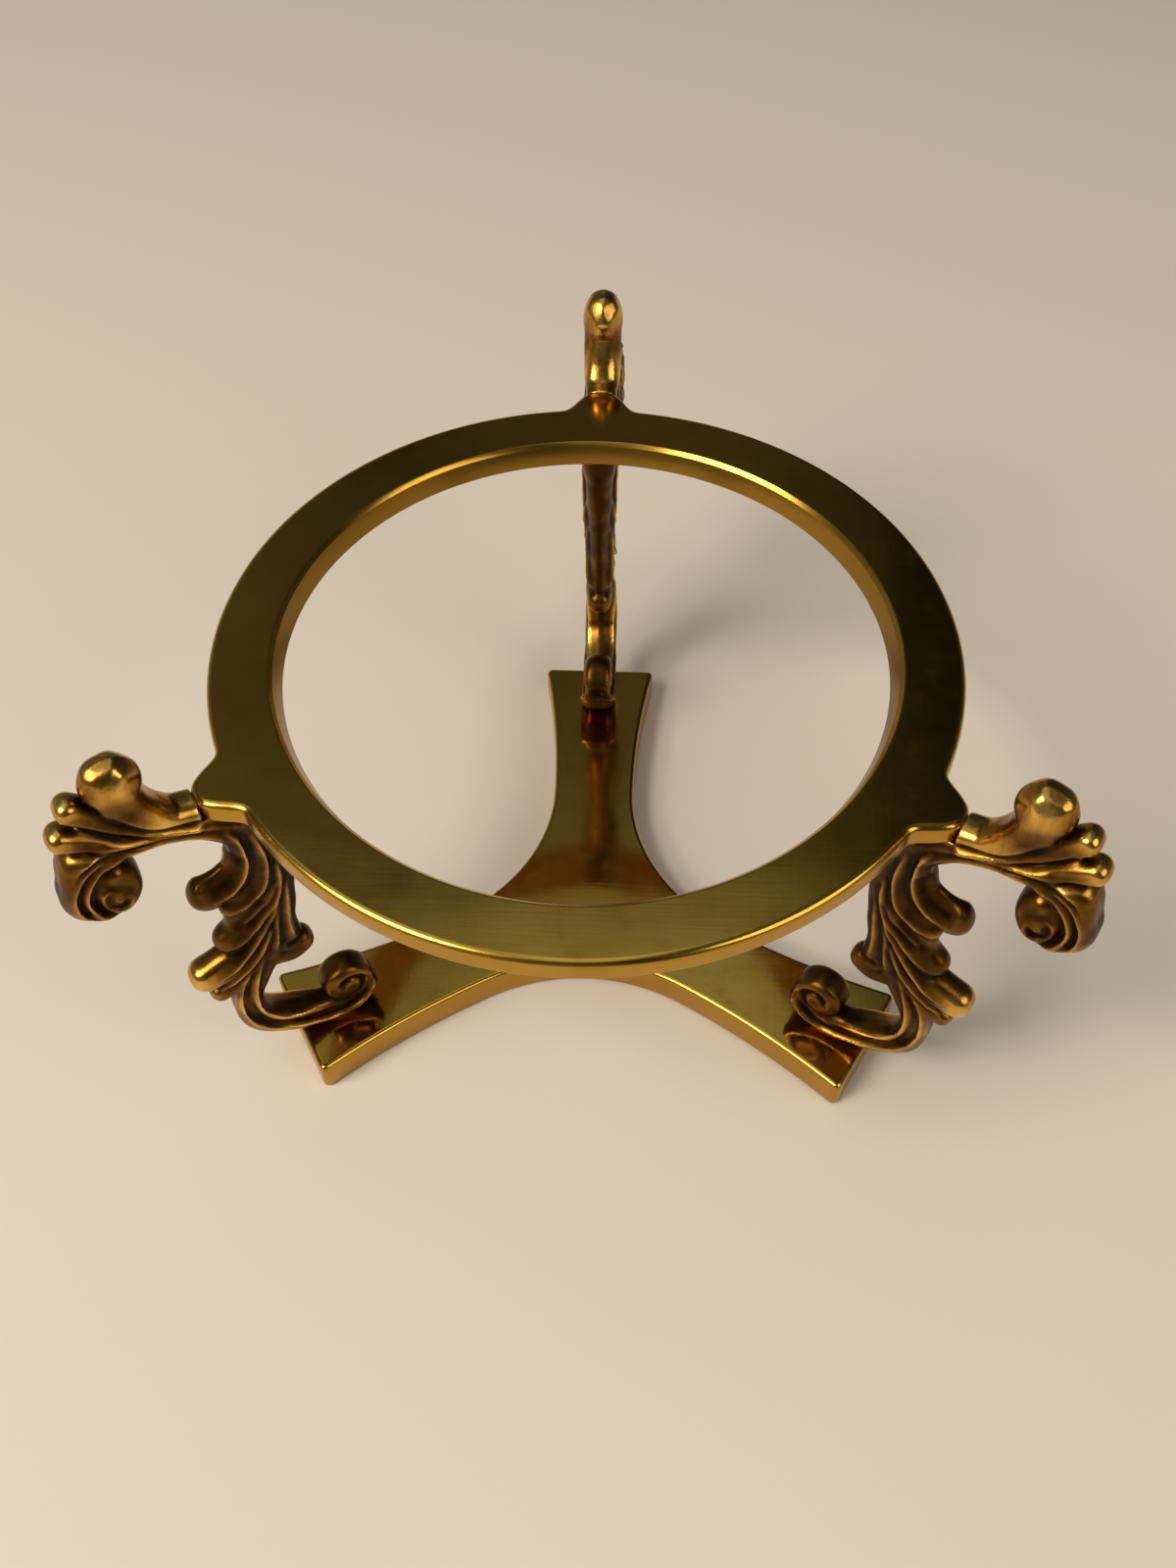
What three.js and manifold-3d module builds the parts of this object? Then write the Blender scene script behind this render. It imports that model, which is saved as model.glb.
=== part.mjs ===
import * as THREE from 'three';
import { mergeVertices } from 'three/addons/utils/BufferGeometryUtils.js';
import Module from 'manifold-3d';

// A brass trivet stand: a flat ring on three scrolled acanthus legs on a three-armed base plate.
// Millimetres, +Z up. The origin is on the ring's axis, on the underside of the base.

// Driving dimensions of the whole stand
const STAND_HEIGHT = 83.6;
const RING_OUTER_RADIUS = 65;
const SEAT_GAP = 0.3;

// Ring
const RING_THICKNESS = 4.1;
const RING_BAND_WIDTH = 10.4;
const RING_EDGE_ROUND = 1.0;
const RING_INNER_CHAMFER = 1.0;
const RING_INNER_LEAN = 1.3;
const RING_SEGMENTS = 72;

// Lugs that carry the ring out over the arms of the legs
const LUG_REACH = 5.9;
const LUG_ROOT_HALF_WIDTH = 7.0;
const LUG_ROOT_DEPTH = 2.5;
const LUG_SIDE_REACH = 2.5;
const LUG_SIDE_HALF_WIDTH = 5.6;
const LUG_TIP_HALF_WIDTH = 2.2;
const LUG_CURVE_STEPS = 6;

// Base plate
const BASE_THICKNESS = 7.3;
const BASE_OVERREACH = 0.2;
const BASE_END_HALF_WIDTH = 12.7;
const BASE_WAIST_HALF_WIDTH = 8.8;
const BASE_WAIST_RADIUS = 28;
const BASE_EDGE_BEVEL = 0.8;
const BASE_CURVE_STEPS = 5;

// Legs. Their paths are drawn in modules, so that the ornament grows with the module.
const LEG_MODULE = 1.0;
const LEG_HALF_THICKNESS = 3.4;
const LEG_STEP = 3.8;
const LEG_SIDES = 8;
const LEG_SQUARENESS = 2.4;
const LEG_TIP_RINGS = 3;

// Rounded forms of the legs, each with its radius and its half thickness across the leg
const LEG_BALL = { radius: 4.9, halfThickness: 4.0, squareness: 2.3 };
const FOOT_ROLL = { radius: 5.0, halfThickness: 3.4, squareness: 4.0 };
const SCROLL_EYE = { radius: 3.6, halfThickness: 4.1, squareness: 2.2 };
const SCROLL_WEB = { radius: 6.4, halfThickness: 2.9, squareness: 5.0 };
const CUSHION_SEGMENTS = 12;
const CUSHION_STEPS = 8;

// Blind pins between the ring and the shoulders of the legs
const PIN_RADIUS = 1.5;
const PIN_INSET = 4.4;
const PIN_DEPTH_IN_RING = 2.4;
const PIN_DEPTH_IN_LEG = 6.0;

// Countersunk screws that hold the feet from under the base
const SCREW_RADIUS = 1.6;
const SCREW_HEAD_RADIUS = 3.4;
const SCREW_HEAD_HEIGHT = 2.0;
const SCREW_GRIP = 4.2;
const SCREW_INSET = 5.4;
const SCREW_RECESS = 0.4;
const SCREW_SLOT_WIDTH = 0.9;
const SCREW_SLOT_DEPTH = 0.8;
const FASTENER_SEGMENTS = 20;

// Places that follow from the driving dimensions
const RING_UNDERSIDE = STAND_HEIGHT - RING_THICKNESS;
const RING_INNER_RADIUS = RING_OUTER_RADIUS - RING_BAND_WIDTH;
const LUG_TIP_RADIUS = RING_OUTER_RADIUS + LUG_REACH;
const BASE_REACH = RING_OUTER_RADIUS + BASE_OVERREACH;
const LEG_RISE = STAND_HEIGHT - BASE_THICKNESS;
const PIN_PLACE = RING_OUTER_RADIUS - PIN_INSET;
const SCREW_PLACE = RING_OUTER_RADIUS - SCREW_INSET;
const LEG_AZIMUTHS = { back: 90, left: 210, right: 330 };

const wasm = await Module();
wasm.setup();

// Turns a closed three.js geometry into a solid that can be joined and cut.
function toSolid(geometry) {
  const bare = geometry.clone();
  bare.deleteAttribute('normal');
  bare.deleteAttribute('uv');
  const merged = mergeVertices(bare);
  return new wasm.Manifold(new wasm.Mesh({
    numProp: 3,
    vertProperties: Float32Array.from(merged.attributes.position.array),
    triVerts: Uint32Array.from(merged.index.array),
  }));
}

// Turns a finished solid back into a three.js geometry.
function toGeometry(solid) {
  const mesh = solid.getMesh();
  const geometry = new THREE.BufferGeometry();
  geometry.setAttribute('position', new THREE.BufferAttribute(Float32Array.from(mesh.vertProperties), 3));
  geometry.setIndex(new THREE.BufferAttribute(Uint32Array.from(mesh.triVerts), 1));
  geometry.computeVertexNormals();
  return geometry;
}

// A solid of revolution about a vertical axis at the given radial place. Profile points are [radius, height].
function revolve(profile, segments, place = 0) {
  const points = profile.map(([radius, height]) => new THREE.Vector2(radius, height));
  const geometry = new THREE.LatheGeometry(points, segments);
  geometry.rotateX(Math.PI / 2);
  geometry.translate(place, 0, 0);
  return toSolid(geometry);
}

// A round bar that stands on the given height at the given radial place.
function bar(radius, bottom, top, segments, place = 0) {
  return revolve([[0, bottom], [radius, bottom], [radius, top], [0, top]], segments, place);
}

// Ring with its rounded outer edge, chamfered and leaning inner wall
function ringBand() {
  const roundMiddle = RING_EDGE_ROUND * (1 - Math.SQRT1_2);
  const innerFoot = RING_INNER_RADIUS - RING_INNER_CHAMFER - RING_INNER_LEAN;
  return revolve([
    [innerFoot, RING_UNDERSIDE],
    [RING_OUTER_RADIUS, RING_UNDERSIDE],
    [RING_OUTER_RADIUS, STAND_HEIGHT - RING_EDGE_ROUND],
    [RING_OUTER_RADIUS - roundMiddle, STAND_HEIGHT - roundMiddle],
    [RING_OUTER_RADIUS - RING_EDGE_ROUND, STAND_HEIGHT],
    [RING_INNER_RADIUS, STAND_HEIGHT],
    [RING_INNER_RADIUS - RING_INNER_CHAMFER, STAND_HEIGHT - RING_INNER_CHAMFER],
    [innerFoot, RING_UNDERSIDE],
  ], RING_SEGMENTS);
}

// Lug along +X: a tongue whose sides bow in from the ring to a blunt tip. Clearance swells it all round.
function lug(bottom, top, clearance) {
  const root = RING_OUTER_RADIUS - LUG_ROOT_DEPTH;
  const rootHalf = LUG_ROOT_HALF_WIDTH + clearance;
  const side = RING_OUTER_RADIUS + LUG_SIDE_REACH;
  const sideHalf = LUG_SIDE_HALF_WIDTH + clearance;
  const tip = LUG_TIP_RADIUS + clearance;
  const tipHalf = LUG_TIP_HALF_WIDTH + clearance;
  const outline = new THREE.Shape();
  outline.moveTo(root, -rootHalf);
  outline.quadraticCurveTo(side, -sideHalf, tip, -tipHalf);
  outline.lineTo(tip, tipHalf);
  outline.quadraticCurveTo(side, sideHalf, root, rootHalf);
  outline.closePath();
  const options = { depth: top - bottom, bevelEnabled: false, curveSegments: LUG_CURVE_STEPS };
  return toSolid(new THREE.ExtrudeGeometry(outline, options).translate(0, 0, bottom));
}

function pinHole(bottom, top) {
  return bar(PIN_RADIUS + SEAT_GAP, bottom, top, FASTENER_SEGMENTS, PIN_PLACE);
}

function eachLeg(make) {
  return Object.values(LEG_AZIMUTHS).map((azimuth) => make().rotate([0, 0, azimuth]));
}

function topRing() {
  let ring = ringBand();
  for (const piece of eachLeg(() => lug(RING_UNDERSIDE, STAND_HEIGHT, 0))) {
    ring = ring.add(piece);
  }
  const holeTop = RING_UNDERSIDE + PIN_DEPTH_IN_RING + SEAT_GAP;
  for (const hole of eachLeg(() => pinHole(RING_UNDERSIDE - SEAT_GAP, holeTop))) {
    ring = ring.subtract(hole);
  }
  return ring;
}

// Base outline: each arm has a straight end and sides that narrow to a waist, and one hollow arc joins
// the waists of two neighbouring arms.
function baseOutline() {
  const armCount = Object.keys(LEG_AZIMUTHS).length;
  const halfPitch = Math.PI / armCount;
  const hollowDistance = BASE_WAIST_RADIUS / Math.cos(halfPitch);
  const hollowRadius = hollowDistance * Math.sin(halfPitch) - BASE_WAIST_HALF_WIDTH;
  const flareLength = BASE_REACH - BASE_WAIST_RADIUS;
  const flareWidth = BASE_END_HALF_WIDTH - BASE_WAIST_HALF_WIDTH;
  const flareRadius = (flareLength ** 2 + flareWidth ** 2) / (2 * flareWidth);
  const flareAngle = Math.asin(flareLength / flareRadius);
  const flareCentreSide = BASE_WAIST_HALF_WIDTH + flareRadius;
  const outline = new THREE.Shape();
  for (const azimuth of Object.values(LEG_AZIMUTHS)) {
    const turn = THREE.MathUtils.degToRad(azimuth);
    const place = (along, side) => new THREE.Vector2(along, side).rotateAround(new THREE.Vector2(), turn);
    const rightCentre = place(BASE_WAIST_RADIUS, -flareCentreSide);
    const leftCentre = place(BASE_WAIST_RADIUS, flareCentreSide);
    const hollowTurn = turn + halfPitch;
    const hollowX = hollowDistance * Math.cos(hollowTurn);
    const hollowY = hollowDistance * Math.sin(hollowTurn);
    const up = turn + Math.PI / 2;
    const down = turn - Math.PI / 2;
    outline.absarc(rightCentre.x, rightCentre.y, flareRadius, up, up - flareAngle, true);
    outline.absarc(leftCentre.x, leftCentre.y, flareRadius, down + flareAngle, down, true);
    outline.absarc(hollowX, hollowY, hollowRadius, down, down - Math.PI + 2 * halfPitch, true);
  }
  return outline;
}

// Screw with a slotted countersunk head. Clearance swells it into the hole that takes it.
function screwBody(clearance) {
  const headBottom = clearance > 0 ? -SEAT_GAP : SCREW_RECESS;
  const headTop = SCREW_RECESS + SCREW_HEAD_HEIGHT + clearance;
  const tip = BASE_THICKNESS + SEAT_GAP + SCREW_GRIP + clearance;
  return revolve([
    [0, headBottom],
    [SCREW_HEAD_RADIUS + clearance, headBottom],
    [SCREW_HEAD_RADIUS + clearance, SCREW_RECESS + clearance],
    [SCREW_RADIUS + clearance, headTop],
    [SCREW_RADIUS + clearance, tip],
    [0, tip],
  ], FASTENER_SEGMENTS, SCREW_PLACE);
}

function baseScrew() {
  const slot = new THREE.BoxGeometry(3 * SCREW_HEAD_RADIUS, SCREW_SLOT_WIDTH, 2 * SCREW_SLOT_DEPTH);
  slot.translate(SCREW_PLACE, 0, SCREW_RECESS);
  return screwBody(0).subtract(toSolid(slot));
}

function tripodBase() {
  const options = {
    depth: BASE_THICKNESS - 2 * BASE_EDGE_BEVEL,
    bevelSize: BASE_EDGE_BEVEL,
    bevelOffset: -BASE_EDGE_BEVEL,
    bevelThickness: BASE_EDGE_BEVEL,
    bevelSegments: 1,
    curveSegments: BASE_CURVE_STEPS,
  };
  const plate = new THREE.ExtrudeGeometry(baseOutline(), options).translate(0, 0, BASE_EDGE_BEVEL);
  let base = toSolid(plate);
  for (const hole of eachLeg(() => screwBody(SEAT_GAP))) {
    base = base.subtract(hole);
  }
  return base;
}

// A place on the leg's middle plane: modules out from the ring's edge, and the share of the way up
// from the top of the base to the top of the ring.
function legPoint(out, rise) {
  return new THREE.Vector3(RING_OUTER_RADIUS + out * LEG_MODULE, 0, BASE_THICKNESS + rise * LEG_RISE);
}

// A leaf or stem of the leg: a flattened bar along a smooth path, with a rounded tip at its last point.
// Each path entry is [out, rise, half width in modules]. Fullness is the thickness against that of the stem.
function leaf(path, fullness = 1) {
  const places = path.map(([out, rise]) => legPoint(out, rise));
  const curve = new THREE.CatmullRomCurve3(places, false, 'centripetal');
  const spans = path.length - 1;
  const steps = Math.ceil(curve.getLength() / LEG_STEP);
  const halfThickness = LEG_HALF_THICKNESS * fullness;
  const across = new THREE.Vector3();
  const vertices = [];
  const faces = [];
  const power = 2 / LEG_SQUARENESS;
  const bow = (value) => Math.sign(value) * Math.abs(value) ** power;

  function addRing(centre, tangent, halfWidth, scale) {
    across.set(-tangent.z, 0, tangent.x);
    for (let side = 0; side < LEG_SIDES; side += 1) {
      const angle = (2 * Math.PI * side) / LEG_SIDES;
      const inPlane = bow(Math.cos(angle)) * halfWidth * scale;
      const sideways = bow(Math.sin(angle)) * halfThickness * scale;
      vertices.push(centre.x + across.x * inPlane, sideways, centre.z + across.z * inPlane);
    }
  }

  let tipCentre;
  let tipTangent;
  let tipHalfWidth;
  for (let step = 0; step <= steps; step += 1) {
    const along = step / steps;
    const span = Math.min(Math.floor(along * spans), spans - 1);
    tipHalfWidth = LEG_MODULE * THREE.MathUtils.lerp(path[span][2], path[span + 1][2], along * spans - span);
    tipCentre = curve.getPoint(along);
    tipTangent = curve.getTangent(along);
    addRing(tipCentre, tipTangent, tipHalfWidth, 1);
  }
  for (let ring = 1; ring < LEG_TIP_RINGS; ring += 1) {
    const angle = (Math.PI / 2) * (ring / LEG_TIP_RINGS);
    const centre = tipCentre.clone().addScaledVector(tipTangent, tipHalfWidth * Math.sin(angle));
    addRing(centre, tipTangent, tipHalfWidth, Math.cos(angle));
  }

  const rings = steps + LEG_TIP_RINGS;
  const start = legPoint(path[0][0], path[0][1]);
  const end = tipCentre.clone().addScaledVector(tipTangent, tipHalfWidth);
  const startIndex = rings * LEG_SIDES;
  const endIndex = startIndex + 1;
  vertices.push(start.x, 0, start.z, end.x, 0, end.z);
  for (let side = 0; side < LEG_SIDES; side += 1) {
    const next = (side + 1) % LEG_SIDES;
    faces.push(startIndex, side, next);
    faces.push(endIndex, startIndex - LEG_SIDES + next, startIndex - LEG_SIDES + side);
    for (let ring = 0; ring < rings - 1; ring += 1) {
      const near = ring * LEG_SIDES;
      const far = near + LEG_SIDES;
      faces.push(near + side, far + next, near + next, near + side, far + side, far + next);
    }
  }
  const geometry = new THREE.BufferGeometry();
  geometry.setAttribute('position', new THREE.Float32BufferAttribute(vertices, 3));
  geometry.setIndex(faces);
  return toSolid(geometry);
}

// A round cushion, flattened across the leg. A higher squareness makes its faces flatter.
function cushion(out, rise, { radius, halfThickness, squareness }) {
  const power = 2 / squareness;
  const profile = Array.from({ length: CUSHION_STEPS + 1 }, (_, step) => {
    const angle = Math.PI * (step / CUSHION_STEPS - 0.5);
    const across = step % CUSHION_STEPS === 0 ? 0 : radius * Math.cos(angle) ** power;
    return new THREE.Vector2(across, halfThickness * Math.sign(angle) * Math.abs(Math.sin(angle)) ** power);
  });
  const centre = legPoint(out, rise);
  return toSolid(new THREE.LatheGeometry(profile, CUSHION_SEGMENTS).translate(centre.x, 0, centre.z));
}

// Path of the rolled scroll at the outer end of the arm: a lead-in from the arm, then a closing spiral.
function outerScrollPath() {
  const leadIn = [[15, 0.953, 3.2], [21, 0.959, 3.2], [26, 0.935, 3.1]];
  const centreOut = 24.0;
  const centreRise = 0.84;
  const turns = 0.72;
  const startAngle = THREE.MathUtils.degToRad(30);
  const startRadius = 4.7;
  const endRadius = 3.5;
  const startHalfWidth = 2.6;
  const endHalfWidth = 2.4;
  const points = 7;
  const spiral = Array.from({ length: points }, (_, index) => {
    const along = index / (points - 1);
    const angle = startAngle - along * turns * 2 * Math.PI;
    const radius = THREE.MathUtils.lerp(startRadius, endRadius, along);
    const halfWidth = THREE.MathUtils.lerp(startHalfWidth, endHalfWidth, along);
    const rise = centreRise + (radius * LEG_MODULE * Math.sin(angle)) / LEG_RISE;
    return [centreOut + radius * Math.cos(angle), rise, halfWidth];
  });
  return [...leadIn, ...spiral];
}

// The leg as it leaves the mould, before its seats are cut
function legCasting() {
  const pieces = [
    // Arm from the shoulder out under the lug
    leaf([[-3, 0.86, 5.2], [2, 0.908, 5.8], [6.5, 0.934, 4.6], [11, 0.952, 3.8], [17, 0.955, 3.2]]),
    // Stem down from the shoulder
    leaf([
      [-2.5, 0.94, 5.4], [-2, 0.822, 5.4], [-2.2, 0.691, 4.8], [-2.3, 0.56, 3.7], [-2.2, 0.478, 2.8],
      [-2.2, 0.393, 3.0],
    ]),
    // Stalk of the ball, and two knuckles between the ball and the scroll
    leaf([[10.5, 0.959, 3.2], [14, 1.005, 3.6], [16.4, 1.064, 3.9], [17, 1.097, 3.8]], 1.1),
    leaf([[13, 0.959, 2.6], [18, 1.005, 2.5], [21.5, 1.058, 2.3], [24.3, 1.096, 2.2]], 0.8),
    leaf([[15, 0.953, 2.6], [20.5, 0.979, 2.6], [24, 1.003, 2.4], [26.9, 1.021, 2.3]], 0.85),
    leaf(outerScrollPath(), 1.1),
    // Blade that the leaves share, and the leaves that fan out from the stem, from the top one down
    leaf([[1, 0.77, 3.2], [2.2, 0.64, 4.2], [3.2, 0.53, 4.4], [4.8, 0.43, 4.6], [6.2, 0.35, 3.2]], 0.7),
    leaf([[-2, 0.8, 3.0], [0.5, 0.727, 3.8], [4.2, 0.684, 4.3], [8.3, 0.67, 4.0]], 0.8),
    leaf([[-3, 0.73, 2.2], [-1, 0.647, 2.2], [2, 0.611, 2.2], [5.7, 0.594, 2.0]], 0.75),
    leaf([[-3.2, 0.651, 2.4], [-0.5, 0.566, 2.8], [3.5, 0.514, 3.3], [7.3, 0.474, 3.2]], 0.75),
    leaf([[-3, 0.586, 2.6], [0, 0.494, 3.0], [5, 0.425, 3.2], [9.5, 0.389, 3.3], [13.4, 0.37, 3.3]], 0.85),
    leaf([[-2, 0.507, 2.4], [2, 0.409, 2.4], [6.5, 0.339, 2.3], [12.2, 0.291, 2.0]], 0.75),
    // Curled lip at the lower end of the stem
    leaf([[0.2, 0.35, 2.6], [-2.2, 0.347, 2.8], [-4, 0.36, 3.0]], 0.8),
    // Lower stem and rolled foot
    leaf([
      [-0.5, 0.468, 3.0], [2, 0.376, 3.0], [5.5, 0.291, 3.0], [7.8, 0.206, 2.9], [7, 0.127, 3.0],
      [2.5, 0.073, 3.3], [-3.5, 0.039, 3.3], [-8.5, 0.037, 3.0], [-13, 0.055, 2.2], [-15.2, 0.094, 1.5],
    ]),
    cushion(17, 1.131, LEG_BALL),
    cushion(-11, 0.123, FOOT_ROLL),
    cushion(22.2, 0.835, SCROLL_EYE),
    cushion(24.2, 0.843, SCROLL_WEB),
  ];
  return pieces.reduce((casting, piece) => casting.add(piece));
}

// A block that takes away all that lies below the foot's seat on the base.
function belowFoot() {
  const block = new THREE.BoxGeometry(2 * BASE_REACH, 2 * BASE_REACH, BASE_REACH);
  return toSolid(block.translate(BASE_REACH, 0, BASE_THICKNESS + SEAT_GAP - BASE_REACH / 2));
}

function leg() {
  const seat = RING_UNDERSIDE - SEAT_GAP;
  const clearTop = STAND_HEIGHT + RING_THICKNESS;
  return legCasting()
    .subtract(bar(RING_OUTER_RADIUS + SEAT_GAP, seat, clearTop, RING_SEGMENTS))
    .subtract(lug(seat, clearTop, SEAT_GAP))
    .subtract(belowFoot())
    .subtract(pinHole(seat - PIN_DEPTH_IN_LEG - SEAT_GAP, clearTop))
    .subtract(screwBody(SEAT_GAP));
}

function ringPin() {
  const seat = RING_UNDERSIDE - SEAT_GAP;
  const top = RING_UNDERSIDE + PIN_DEPTH_IN_RING;
  return bar(PIN_RADIUS, seat - PIN_DEPTH_IN_LEG, top, FASTENER_SEGMENTS, PIN_PLACE);
}

// Finishes, from bright polished sheet to dark cast brass
function polishedBrass() {
  return new THREE.MeshStandardMaterial({ color: 0xb08a3c, roughness: 0.2, metalness: 1 });
}

function castBrass() {
  return new THREE.MeshStandardMaterial({ color: 0x8a6330, roughness: 0.4, metalness: 1 });
}

function plainBrass() {
  return new THREE.MeshStandardMaterial({ color: 0xb5924c, roughness: 0.35, metalness: 1 });
}

function named(name, solid, material) {
  const mesh = new THREE.Mesh(toGeometry(solid), material);
  mesh.name = name;
  return mesh;
}

const stand = new THREE.Group();
stand.add(named('top_ring', topRing(), polishedBrass()));
stand.add(named('tripod_base', tripodBase(), polishedBrass()));
for (const [side, azimuth] of Object.entries(LEG_AZIMUTHS)) {
  const corner = new THREE.Group();
  corner.rotation.z = THREE.MathUtils.degToRad(azimuth);
  corner.add(named(`leg_${side}`, leg(), castBrass()));
  corner.add(named(`ring_pin_${side}`, ringPin(), plainBrass()));
  corner.add(named(`base_screw_${side}`, baseScrew(), plainBrass()));
  stand.add(corner);
}

export default stand;
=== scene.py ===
import math

import bmesh
import bpy
import numpy as np
from mathutils import Matrix, Vector


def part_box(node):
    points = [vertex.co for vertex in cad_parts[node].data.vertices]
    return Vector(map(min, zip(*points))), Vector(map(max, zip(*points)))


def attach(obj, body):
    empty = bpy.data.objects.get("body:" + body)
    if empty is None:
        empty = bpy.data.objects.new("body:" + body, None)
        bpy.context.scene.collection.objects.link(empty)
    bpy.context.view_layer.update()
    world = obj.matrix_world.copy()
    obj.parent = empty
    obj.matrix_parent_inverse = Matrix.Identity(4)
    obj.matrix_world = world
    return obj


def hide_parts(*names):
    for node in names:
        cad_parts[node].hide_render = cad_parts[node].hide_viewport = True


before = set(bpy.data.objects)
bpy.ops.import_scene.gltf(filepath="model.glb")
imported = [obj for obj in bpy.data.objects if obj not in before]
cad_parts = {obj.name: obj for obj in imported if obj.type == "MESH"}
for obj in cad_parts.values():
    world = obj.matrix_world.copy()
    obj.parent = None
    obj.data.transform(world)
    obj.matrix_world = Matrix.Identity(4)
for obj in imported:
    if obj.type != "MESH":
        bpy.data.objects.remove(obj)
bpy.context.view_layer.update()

# A brass trivet stand: a polished ring and base, and three cast acanthus legs between them.
# Shapes are worked out in millimetres in the part's own frame and become metres in each mesh.
MM = 0.001

# Sizes read from the frame
ring_low, ring_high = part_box("top_ring")
_, base_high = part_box("tripod_base")
RING_TOP = ring_high.z / MM
RING_UNDERSIDE = ring_low.z / MM
RING_RADIUS = -ring_low.y / MM
LUG_TIP_RADIUS = ring_high.y / MM
BASE_TOP = base_high.z / MM
BASE_REACH = base_high.y / MM
LEG_AZIMUTHS = {"back": 90, "left": 210, "right": 330}

# Ring and lugs
RING_BAND_WIDTH = 10.4
RING_EDGE_ROUND = 1.2
RING_LOWER_ROUND = 0.5
RING_INNER_CHAMFER = 0.7
RING_INNER_LEAN = 1.3
RING_CRISP_ROUND = 0.12
LUG_ROOT_HALF_WIDTH = 7.0
LUG_ROOT_DEPTH = 2.5
LUG_SIDE_REACH = 2.5
LUG_SIDE_HALF_WIDTH = 5.6
LUG_TIP_HALF_WIDTH = 2.2
LUG_FAIRING = 0.014
RING_STEPS = 1440
RING_CRISP_STEPS = 3
RING_TOP_STRIP = 0.3
RING_UNDERSIDE_STRIP = 0.4
LUG_SIDE_STEPS = 60
LUG_OUTLINE_STEPS = 200
# Flat strip that follows each rounded outer edge
EDGE_STRIP = 0.05

# Base plate
BASE_END_HALF_WIDTH = 12.7
BASE_WAIST_HALF_WIDTH = 8.8
BASE_WAIST_RADIUS = 28.0
BASE_EDGE_ROUND = 0.9
BASE_CORNER_ROUND = 1.8
BASE_ARC_STEPS = 48
# Loops of the flat top as shares of its outline, and the angle above which an edge stays sharp
BASE_TOP_SHARES = (0.7, 0.4, 0.1)
BASE_CREASE = math.radians(40)
SCREW_PLACE = RING_RADIUS - 5.4
SCREW_HOLE_RADIUS = 3.7
SCREW_HOLE_DEPTH = 1.0
SCREW_STEPS = 48

# Leg casting
LEG_CELL = 0.27
LEG_MARGIN = 1.2
LEG_SQUARENESS = 2.6
LEG_BLEND = 0.4
PATH_STEP = 0.7
SEAT_FIT = -0.05
SEAT_EASE = 0.15
RIM_SCOOP = 1.3
RIM_STEP = 0.6
RIM_CREST = 0.3
RIM_GROOVE_DEPTH = 0.55
RIM_GROOVE_REACH = 0.7
# How fast a rim or groove fades in at its ends
RIM_FADE = 6
# Room that the leg's grid spans, and the depth on its sides at which the carving comes in
LEG_SPREAD_OUT = (-17.5, 32.5)
LEG_SPREAD_UP = (-0.6, 92.6)
FACE_START = 0.6
FACE_EASE = 1.4
# Steps that bring the mesh's vertices onto the surface
SNAP_ROUNDS = 2
SNAP_LIMIT = 0.5
LEAST_STEEPNESS = 1e-4
LEVEL_LIMIT = 1.5
BLUR_ROUNDS = 2
CELL_CORNERS = [(i, j, k) for i in (0, 1) for j in (0, 1) for k in (0, 1)]


# Small mesh helpers

def new_piece(name, vertices, faces, material, replaced):
    """A smooth-shaded mesh from vertices in millimetres, which stands for one node of the part."""
    mesh = bpy.data.meshes.new(name)
    mesh.from_pydata((np.asarray(vertices) * MM).tolist(), [], faces)
    mesh.validate()
    mesh.shade_smooth()
    mesh.materials.append(material)
    piece = bpy.data.objects.new(name, mesh)
    bpy.context.scene.collection.objects.link(piece)
    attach(piece, "root")
    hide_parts(replaced)
    return piece


def loft(loops, first=0, closed=False):
    """Quads between loops of equal length, numbered from first. Closed joins the last to the first."""
    count = len(loops[0])
    faces = []
    for row in range(len(loops) if closed else len(loops) - 1):
        near = first + row * count
        far = first + ((row + 1) % len(loops)) * count
        for step in range(count):
            after = (step + 1) % count
            faces.append((near + step, near + after, far + after, far + step))
    return faces


def at_height(outline, height):
    return np.column_stack([outline, np.full(len(outline), height)])


def turned(places, degrees):
    turn = math.radians(degrees)
    matrix = np.array([[math.cos(turn), -math.sin(turn)], [math.sin(turn), math.cos(turn)]])
    result = np.array(places, float)
    result[:, :2] = result[:, :2] @ matrix.T
    return result


def rounded_profile(corners, steps=6):
    """An open line through corners given as (across, height, radius), with an arc at each inner corner."""
    line = [corners[0][:2]]
    for before, corner, after in zip(corners, corners[1:], corners[2:]):
        middle = np.array(corner[:2], float)
        back = np.array(before[:2]) - middle
        ahead = np.array(after[:2]) - middle
        back /= np.linalg.norm(back)
        ahead /= np.linalg.norm(ahead)
        half_angle = math.acos(np.clip(back @ ahead, -1, 1)) / 2
        reach = corner[2] / math.tan(half_angle)
        bisector = (back + ahead) / np.linalg.norm(back + ahead)
        centre = middle + bisector * corner[2] / math.sin(half_angle)
        for share in np.linspace(0, 1, steps + 1):
            chord = middle + back * reach * (1 - share) + ahead * reach * share - centre
            line.append(tuple(centre + chord / np.linalg.norm(chord) * corner[2]))
    line.append(corners[-1][:2])
    return line


def inward_normals(outline):
    """Unit normals of a closed outline that runs anticlockwise, pointing to its inside."""
    tangent = np.roll(outline, -1, axis=0) - np.roll(outline, 1, axis=0)
    tangent /= np.linalg.norm(tangent, axis=1)[:, None]
    return np.column_stack([-tangent[:, 1], tangent[:, 0]])


# Ring

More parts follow.
